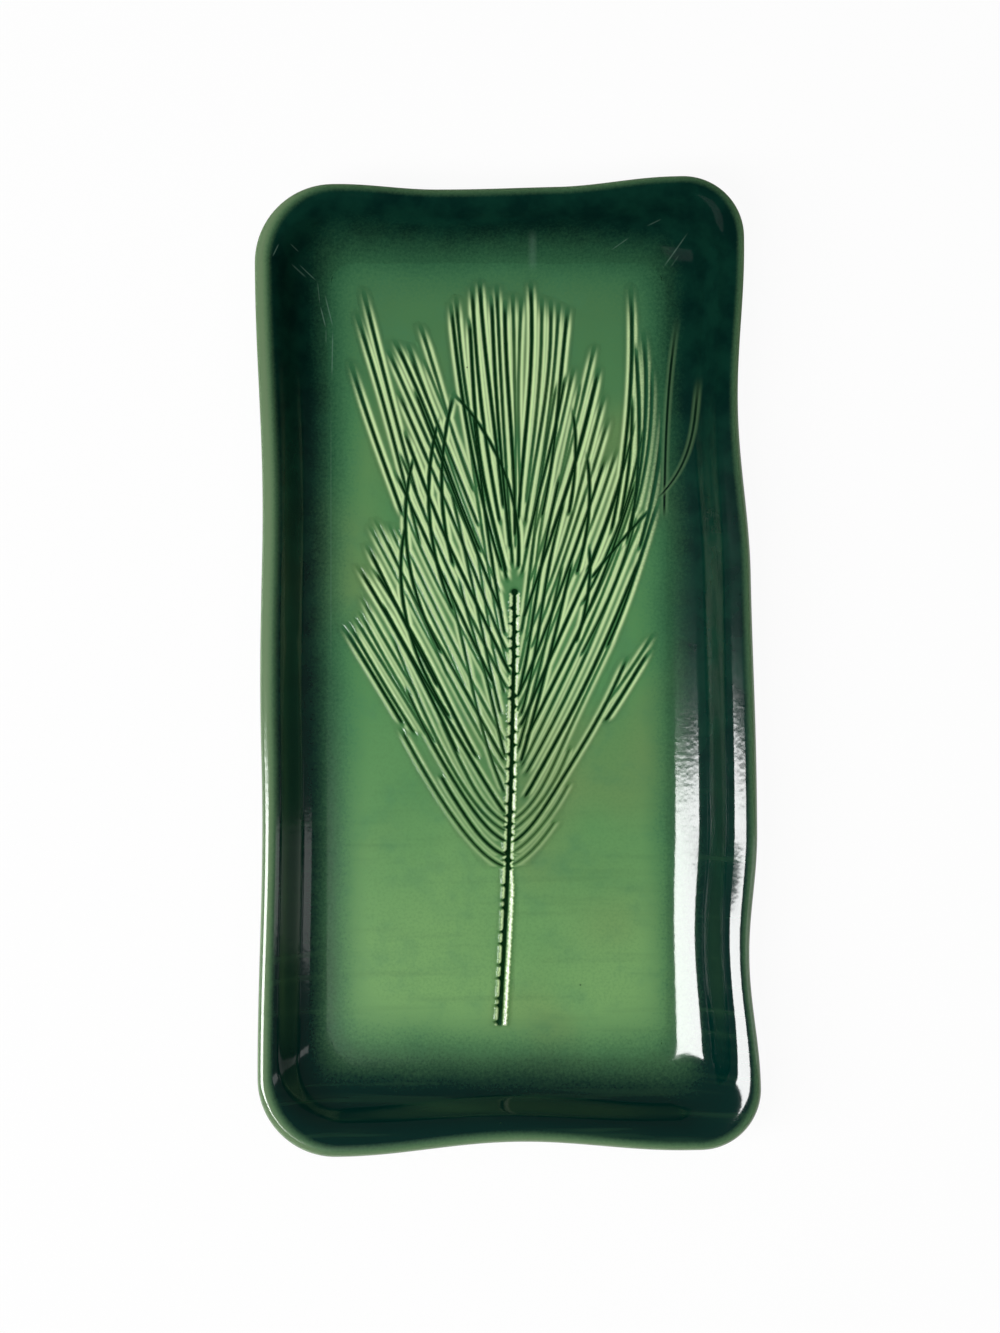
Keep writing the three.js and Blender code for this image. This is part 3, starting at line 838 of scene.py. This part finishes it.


# Marks of use and painted light: pale lines, each as its start, heading in degrees, length, half width in
# millimetres and strength, which are scratches and painted reflections of the lamp in the upper corners, a
# smear, and a painted highlight along the joint of floor and wall; pinholes; and brush marks across the
# tray
wearAndGlints = {
    "scoresAndGlints": [
        (-88.8, 154.2, 65, 6.0, 0.35, 0.35),
        (-82.5, 160.1, -40, 4.2, 0.35, 0.25),
        (-82.5, 153.1, -40, 7.7, 0.5, 0.25),
        (-79.8, 153.3, -42, 9.2, 0.35, 0.3),
        (-72.8, 147.7, -84, 9.9, 0.3, 0.2),
        (-71.7, 137.9, -76, 9.0, 0.35, 0.4),
        (-70.1, 142.8, -76, 14.0, 0.35, 0.3),
        (-66.9, 129.3, -91, 19.7, 0.35, 0.3),
        (-69.5, 129.2, -90, 6.0, 0.3, 0.2),
        (-67.6, 110.0, -90, 122.0, 0.3, 0.12),
        (58.8, 151.7, 54, 17.1, 0.4, 0.25),
        (61.8, 152.0, 55, 6.6, 0.4, 0.1),
        (39.1, 158.8, 34, 9.1, 0.35, 0.22),
        (52.6, 167.5, 23, 6.5, 0.35, 0.18),
        (9.4, 150.0, 90, 17.0, 2.4, 0.14),
    ],
    # Pale of the scratches and of the painted reflections and highlight
    "paleScoreAndGlint": (128, 162, 144),
    "paleLineEnd": 0.3,  # share of its length over which a pale line comes and goes
    "pinholeSpacing": 70.0,  # in a metre
    "pinholeSize": 0.035,
    "pinhole": (24, 52, 34),
    "pinholeChance": (0.7, 0.75, 0.0, 0.7),  # which points have one, and its share
    "brushStretch": (14.0, 240.0, 1.0),  # strokes in a metre, across, along and up
    "brush": (64, 104, 68),
    "brushNoise": (0.5, 0.75),
    "brushPlace": (-0.02, -0.08, 0.0, 0.16),  # along the tray in metres, and the share there
}


# Colour with the marks of use and painted light: scores, painted reflections and a painted highlight are
# pale within their half width of a line and between their ends, a pinhole is a small distance to a
# scattered point, brush marks are noise drawn out across the tray
def wearAndGlintColour(tree, place, split, colour):
    across = millimetres(tree, split.outputs["X"])
    along = millimetres(tree, split.outputs["Y"])
    for x, y, heading, length, half, strength in wearAndGlints["scoresAndGlints"]:
        right, up = np.cos(np.radians(heading)), np.sin(np.radians(heading))
        fromX = maths(tree, "SUBTRACT", across, x)
        fromY = maths(tree, "SUBTRACT", along, y)
        way = maths(tree, "MULTIPLY", fromX, right)
        way = maths(tree, "ADD", way, maths(tree, "MULTIPLY", fromY, up))
        off = maths(tree, "MULTIPLY", fromY, right)
        off = maths(tree, "SUBTRACT", off, maths(tree, "MULTIPLY", fromX, up))
        off = maths(tree, "ABSOLUTE", off)
        end = length * wearAndGlints["paleLineEnd"]
        amount = maths(tree, "MULTIPLY", ease(tree, way, 0.0, end), ease(tree, way, length, length - end))
        amount = maths(tree, "MULTIPLY", amount, ease(tree, off, half, 0.0, 0.0, strength))
        # Pale lines: scratches, painted reflections in the upper corners and a painted highlight along the
        # joint
        colour = blend(tree, amount, colour, linear(wearAndGlints["paleScoreAndGlint"]))
    dots = tree.nodes.new("ShaderNodeTexVoronoi")
    dots.inputs["Scale"].default_value = wearAndGlints["pinholeSpacing"]
    tree.links.new(place, dots.inputs["Vector"])
    chosen = tree.nodes.new("ShaderNodeSeparateColor")
    tree.links.new(dots.outputs["Color"], chosen.inputs[0])
    hole = ease(tree, dots.outputs["Distance"], wearAndGlints["pinholeSize"], wearAndGlints["pinholeSize"] / 2)
    hole = maths(tree, "MULTIPLY", hole, ease(tree, chosen.outputs[0], *wearAndGlints["pinholeChance"]))
    colour = blend(tree, hole, colour, linear(wearAndGlints["pinhole"]))
    drawn = tree.nodes.new("ShaderNodeMapping")
    drawn.inputs["Scale"].default_value = wearAndGlints["brushStretch"]
    tree.links.new(place, drawn.inputs["Vector"])
    strokes = noise(tree, drawn.outputs[0], 1.0, 2.0)
    low = ease(tree, split.outputs["Y"], *wearAndGlints["brushPlace"])
    strokes = maths(tree, "MULTIPLY", ease(tree, strokes, *wearAndGlints["brushNoise"]), low)
    return blend(tree, strokes, colour, linear(wearAndGlints["brush"]))


# The inside glaze: greens that go from yellowish at the foot of the sprig to bluish above it, with soft
# clouds; dark where it pools in the print and pale on the ridges; a dark spray over the rim and a pale lip
def insideGlazeMaterial():
    material, tree, shader, place = startMaterial("insideGlaze", glaze["roughness"])
    split = tree.nodes.new("ShaderNodeSeparateXYZ")
    tree.links.new(place, split.inputs[0])
    cloudy = maths(tree, "SUBTRACT", noise(tree, place, *glaze["cloudNoise"]), 0.5)
    mottle = noise(tree, place, *glaze["mottleNoise"])
    grain = noise(tree, place, *glaze["grainNoise"])
    olive = noise(tree, place, *glaze["oliveNoise"])
    height = maths(tree, "ADD", split.outputs["Y"], maths(tree, "MULTIPLY", cloudy, glaze["cloudLift"]))
    green = tinted(tree, linear(glaze["lowGreen"]), height, glaze["midGreen"])
    green = tinted(tree, green, height, glaze["highGreen"])
    green = tinted(tree, green, olive, glaze["olive"])
    green = tinted(tree, green, mottle, glaze["blueGreen"])
    green = tinted(tree, green, grain, glaze["speckle"])
    tone = mark(tree, "printTone")
    green = tinted(tree, green, tone, glaze["ridge"])
    # Painted glint: white where the stem's shine lifts the tone past 1
    green = tinted(tree, green, tone, glaze["paintedGlintWhite"])
    green = tinted(tree, green, tone, glaze["groove"])
    ragged = maths(tree, "MULTIPLY", maths(tree, "SUBTRACT", grain, 0.5), glaze["ragged"])
    drift = maths(tree, "MULTIPLY", cloudy, glaze["ragged"])
    reach = maths(tree, "ADD", maths(tree, "ADD", mark(tree, "sprayReach"), ragged), drift)
    green = tinted(tree, green, reach, glaze["fadeGreen"])
    dark = tinted(tree, linear(glaze["dark"]), mottle, glaze["darkest"])
    dark = tinted(tree, dark, height, glaze["lowDark"])
    colour = blend(tree, ease(tree, reach, *glaze["darkReach"]), green, dark)
    edge = maths(tree, "ADD", mark(tree, "lipReach"), maths(tree, "MULTIPLY", ragged, glaze["raggedLip"]))
    lip = tinted(tree, linear(glaze["lipPale"]), edge, glaze["lipGreen"])
    colour = blend(tree, ease(tree, edge, *glaze["lipReach"]), colour, lip)
    colour = wallNeedleColour(tree, split, colour)
    # Marks of use, with painted reflections and a painted highlight
    colour = wearAndGlintColour(tree, place, split, colour)
    tree.links.new(colour, shader.inputs["Base Color"])
    printed = ease(tree, tone, *glaze["pooledShine"])
    printed = maths(tree, "MULTIPLY", printed, ease(tree, tone, *glaze["ridgeShine"]))
    printed = maths(tree, "MAXIMUM", printed, ease(tree, tone, *glaze["edgeShine"]))
    shine = maths(tree, "MULTIPLY", printed, ease(tree, height, *glaze["shine"]))
    tree.links.new(shine, shader.inputs["Specular IOR Level"])
    orangePeel(tree, shader, place, *glaze["peel"])
    return material


# A plain finish: a pale colour with a deep one over it in lumps of noise
def mottledMaterial(name, finish):
    material, tree, shader, place = startMaterial(name, finish["roughness"])
    lumps = noise(tree, place, *finish["noise"])
    colour = tinted(tree, linear(finish["pale"]), lumps, finish["deep"])
    tree.links.new(colour, shader.inputs["Base Color"])
    orangePeel(tree, shader, place, *finish["peel"])
    return material


insideGlaze = insideGlazeMaterial()
outerGlaze = mottledMaterial("outsideGlaze", outsideGlaze)
bareClay = mottledMaterial("bareClay", clay)
print("finishes made")


# A coat of glaze over some rows of the wall: the shown rows, and the same rows a coat's thickness below
def coatPiece(name, points, normals, insets, material, slot, node):
    below = points - normals * tray["glazeCoat"]
    loop = np.concatenate([points, below[::-1]])
    reach = lipReach(insets)
    marks = {
        "printTone": np.zeros(loop.shape[:2]),
        "sprayReach": sprayReach(loop[..., 0], loop[..., 1]),
        "lipReach": np.concatenate([reach, reach[::-1]]),
    }
    newPiece(ringMesh(name, loop, normals, marks), material, slot, node)


# The floor between the print panel and the wall
floorBand = {"rows": 14}


# The panel's edge, point by point of the floor outline: a side's point goes straight in, and an arc's point
# along its own angle from the arc's centre, until they meet the panel
def panelEdge():
    low = np.array([panelLeft, panelBottom])
    high = np.array([panelRight, panelTop])
    nearest = np.clip(floorOutline, floorCentres.min(0), floorCentres.max(0))
    away = floorOutline - nearest
    reach = tray["floorCornerRadius"] - np.array([printPanel["marginAcross"], printPanel["marginAlong"]])
    return np.clip(nearest + reach * away / np.abs(away).max(1, keepdims=True), low, high)


# Rows of that floor: straight lines from the panel's edge to the floor outline
def floorBandRows():
    shares = np.linspace(0, 1, floorBand["rows"] + 1)[:, None, None]
    inner = panelEdge()
    flat = inner + (floorOutline - inner) * shares
    points = np.concatenate([flat, np.full(flat.shape[:2] + (1,), floorLevel)], -1)
    return points, np.broadcast_to((0.0, 0.0, 1.0), points.shape)


panelGrid, panelNormals, panelTone = smoothPanel()
tileRows = printPanel["rows"] // printPanel["tiles"]
for number, part in enumerate(("Stem", "Heart", "Crown", "Tips")):
    rows = slice(number * tileRows, (number + 1) * tileRows + 1)
    mesh = tileMesh("wellGlaze" + part, panelGrid[rows], panelNormals[rows], panelTone[rows])
    newPiece(mesh, insideGlaze, "green_glaze", "well_glaze")
bandPoints, bandNormals = floorBandRows()
bandInsets = np.full(bandPoints.shape[:2], spray["floorInset"])
coatPiece("wellGlazeBand", bandPoints, bandNormals, bandInsets, insideGlaze, "green_glaze", "well_glaze")
wallRows = slice(0, crestRow + 1)
lipRows = slice(crestRow, rollRow + 1)
underRows = slice(rollRow, None)
lipInset = inset.copy()
levelRow = crestRow + tray["lipSteps"] * 90 / (90 + tray["lipRoll"])
lipInset[np.arange(len(inset)) > levelRow] = spray["outerLip"]
coats = [
    ("wallGlaze", wallRows, inset, insideGlaze, "dark_glaze", "wall_glaze"),
    ("lipGlaze", lipRows, lipInset, insideGlaze, "pale_glaze", "lip_glaze"),
    ("outsideGlaze", underRows, inset, outerGlaze, "pale_glaze", "outside_glaze"),
]
for name, rows, insets, material, slot, node in coats:
    coatPiece(name, wallPoints[rows], wallNormals[rows], insets[rows], material, slot, node)
clayLoop = wallPoints - wallNormals * tray["glazeCoat"]
newPiece(ringMesh("rimWall", clayLoop, wallNormals, {}), bareClay, "clay_body", "rim_wall")


# The floor outline drawn in by a distance: its arcs keep their centres
def drawnIn(distance):
    return beltOutline(floorCentres, floorRadii - distance, [[]] * 4)


slabOutline = drawnIn(tray["jointClearance"])
slab = plateMesh("floorSlab", slabOutline, tray["footHeight"], slabTop)
newPiece(slab, bareClay, "clay_body", "floor_slab")
glazedOutline = drawnIn(tray["jointClearance"] + tray["footWidth"] + tray["jointClearance"])
underside = plateMesh("undersideGlaze", glazedOutline, underLevel, tray["footHeight"])
newPiece(underside, outerGlaze, "pale_glaze", "underside_glaze")


# The foot: a ring of rounded section, from its outer top edge down, across and up its inner face
def footLoop():
    edge = tray["footEdge"]
    width = tray["footWidth"]
    turns = np.radians(np.linspace(0, 90, tray["footSteps"] + 1))
    outer = np.column_stack([edge - edge * np.cos(turns), edge - edge * np.sin(turns)])
    inner = np.column_stack([width - edge + edge * np.sin(turns), edge - edge * np.cos(turns)])
    profile = np.concatenate([[(0, tray["footHeight"])], outer, inner, [(width, tray["footHeight"])]])
    rings = []
    for across, tall in profile:
        ring = drawnIn(tray["jointClearance"] + across)
        rings.append(np.column_stack([ring, np.full(aroundCount, tall)]))
    return np.stack(rings)


footRows = footLoop()
newPiece(ringMesh("footRing", footRows, ringNormals(footRows), {}), bareClay, "clay_body", "foot_ring")

# Floor of the studio, lamps, camera
studio = {
    "floorColour": (240, 240, 240),
    "floorRoughness": 0.9,
    "floorGlow": 0.94,  # share of even white
    "floorSize": 30.0,
    "worldLevel": 0.1,
    "softbox": ((-0.832, -0.325, 1.224), (0.45, 1.46)),  # place, and size along the tray and up
    "softboxShine": 22.0,  # brightness in reflections
    "softboxLight": 11.0,  # and on the tray
    "card": ((0.6, -0.145, 0.3), (0.09, 0.42)),
    "cardShine": 1.4,
    "overhead": ((0.2, 0.0, 2.6), (2.4, 2.4)),
    "overheadLight": 1.0,
    "lens": 85.0,
    "cameraPlace": (-0.003, 0.0, 1.2125),
}


# A soft panel that faces the tray across it: its power is its brightness times its area and pi
def addLamp(name, place, size, level, lights, shines):
    lamp = bpy.data.lights.new(name, "AREA")
    lamp.shape = "RECTANGLE"
    lamp.size, lamp.size_y = size
    lamp.energy = level * size[0] * size[1] * np.pi
    holder = bpy.data.objects.new(name, lamp)
    holder.location = place
    across = Vector((place[0], 0, place[2]))
    holder.rotation_euler = (-across).to_track_quat("-Z", "Y").to_euler()
    holder.visible_diffuse = lights
    holder.visible_glossy = shines
    bpy.context.scene.collection.objects.link(holder)


# The pale floor: what the camera sees of it is part lit surface, which keeps the shadow, and part white
def addFloor():
    half = studio["floorSize"] / 2
    mesh = bpy.data.meshes.new("studioFloor")
    corners = [(-half, -half, 0), (half, -half, 0), (half, half, 0), (-half, half, 0)]
    mesh.from_pydata(corners, [], [(0, 1, 2, 3)])
    floor = bpy.data.objects.new("studioFloor", mesh)
    bpy.context.scene.collection.objects.link(floor)
    material, tree, shader, _ = startMaterial("paleFloor", studio["floorRoughness"])
    shader.inputs["Base Color"].default_value = linear(studio["floorColour"])
    rays = tree.nodes.new("ShaderNodeLightPath").outputs
    seen = maths(tree, "ADD", rays["Is Camera Ray"], rays["Is Glossy Ray"])
    seen = maths(tree, "ADD", seen, rays["Is Transmission Ray"])
    white = tree.nodes.new("ShaderNodeEmission")
    white.inputs["Strength"].default_value = 1.0
    either = tree.nodes.new("ShaderNodeMixShader")
    tree.links.new(maths(tree, "MULTIPLY", seen, studio["floorGlow"]), either.inputs["Fac"])
    tree.links.new(shader.outputs[0], either.inputs[1])
    tree.links.new(white.outputs[0], either.inputs[2])
    tree.links.new(either.outputs[0], tree.nodes["Material Output"].inputs["Surface"])
    mesh.materials.append(material)


addFloor()
addLamp("leftSoftbox", *studio["softbox"], studio["softboxShine"], False, True)
addLamp("leftLight", *studio["softbox"], studio["softboxLight"], True, False)
addLamp("rightCard", *studio["card"], studio["cardShine"], False, True)
addLamp("overheadFill", *studio["overhead"], studio["overheadLight"], True, False)
world = bpy.data.worlds.new("studioAir")
world.use_nodes = True
air = world.node_tree
air.nodes["Background"].inputs["Color"].default_value = (1, 1, 1, 1)
seen = air.nodes.new("ShaderNodeLightPath").outputs["Is Camera Ray"]
air.links.new(maths(air, "MAXIMUM", seen, studio["worldLevel"]), air.nodes["Background"].inputs["Strength"])
bpy.context.scene.world = world
camera = bpy.data.cameras.new("camera")
camera.lens = studio["lens"]
viewer = bpy.data.objects.new("camera", camera)
viewer.location = studio["cameraPlace"]
bpy.context.scene.collection.objects.link(viewer)
bpy.context.scene.camera = viewer
bpy.context.scene.view_settings.view_transform = "Standard"
print("studio set")
